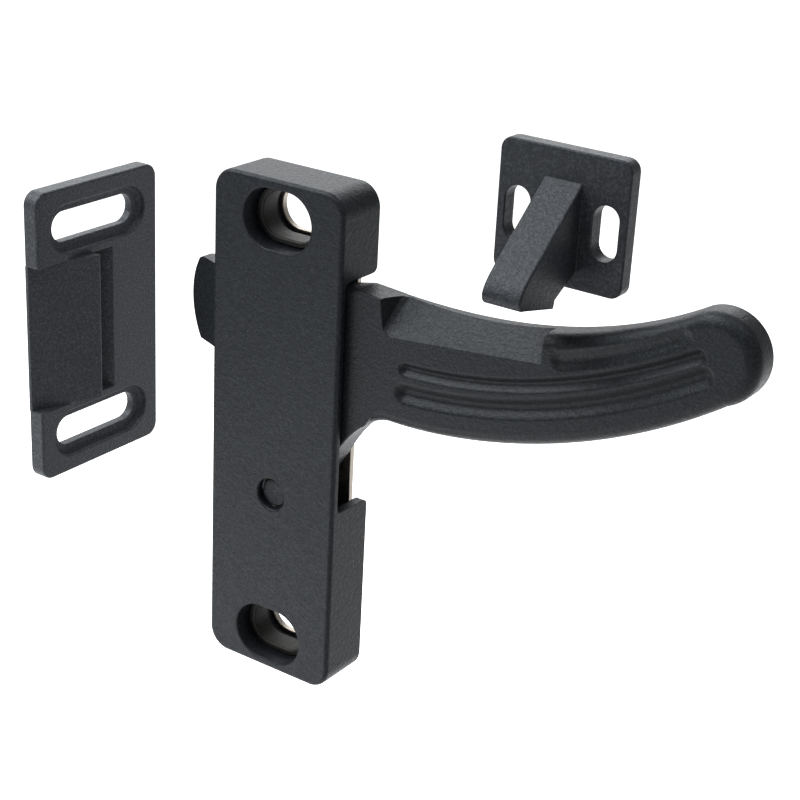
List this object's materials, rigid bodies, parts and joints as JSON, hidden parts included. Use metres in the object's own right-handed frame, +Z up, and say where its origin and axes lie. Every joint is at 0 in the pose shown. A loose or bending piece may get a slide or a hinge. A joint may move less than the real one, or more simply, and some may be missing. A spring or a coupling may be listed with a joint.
{
  "type": "gate latch",
  "caption": "Surface gate latch kit: cast case with a spring-return thumb lever and bevelled bolt nose, a ramped strike plate and a hooked catch block.",
  "frame": {"origin": "centre of the latch case's back plane, on the back plate's outer face", "axes": "+X along the lever handle, away from the bolt nose; +Y out of the case's back, into the gate; +Z up"},
  "size_m": [0.1856, 0.0432, 0.1488],
  "materials": {
    "powder_coat": "charcoal powder coat, fine orange-peel texture, satin",
    "powder_coat_lever": "charcoal powder coat, fine orange-peel texture, satin",
    "stainless_plate": "brushed stainless steel",
    "pin_steel": "turned steel",
    "spring_steel": "drawn spring wire",
    "bronze": "sintered bronze",
    "rubber": "matt black rubber"
  },
  "bodies": {
    "latch_case": {"housing": "powder_coat", "back_plate": "stainless_plate", "plate_screw_1": "pin_steel", "plate_screw_2": "pin_steel", "plate_screw_3": "pin_steel", "plate_screw_4": "pin_steel", "upper_slot_insert": "stainless_plate", "lower_slot_insert": "stainless_plate", "rest_bumper": "rubber", "open_bumper": "rubber", "pivot_pin": "powder_coat", "pivot_clip": "pin_steel", "front_washer": "pin_steel", "rear_washer": "pin_steel", "torsion_spring": "spring_steel", "spring_anchor_pin": "pin_steel"},
    "lever": {"lever": "powder_coat_lever", "pivot_bush": "bronze", "lever_spring_pin": "pin_steel"},
    "strike": {"strike_plate": "powder_coat"},
    "catch": {"catch_block": "powder_coat"}
  },
  "joints": [
    {"name": "lever_pivot", "type": "hinge", "parent": "latch_case", "child": "lever", "pos_m": [0, -0.0075, -0.0154], "axis": [0, 1, 0], "range_deg": [0, 19], "stiffness_Nm_per_rad": 0.4, "springref_deg": -45.84, "deforming": ["torsion_spring"]},
    {"name": "strike_adjust", "type": "slide", "parent": "latch_case", "child": "strike", "axis": [0, 1, 0], "range_m": [-0.01, 0.01]},
    {"name": "catch_adjust", "type": "slide", "parent": "latch_case", "child": "catch", "axis": [0, 0, 1], "range_m": [-0.003, 0.003]}
  ]
}
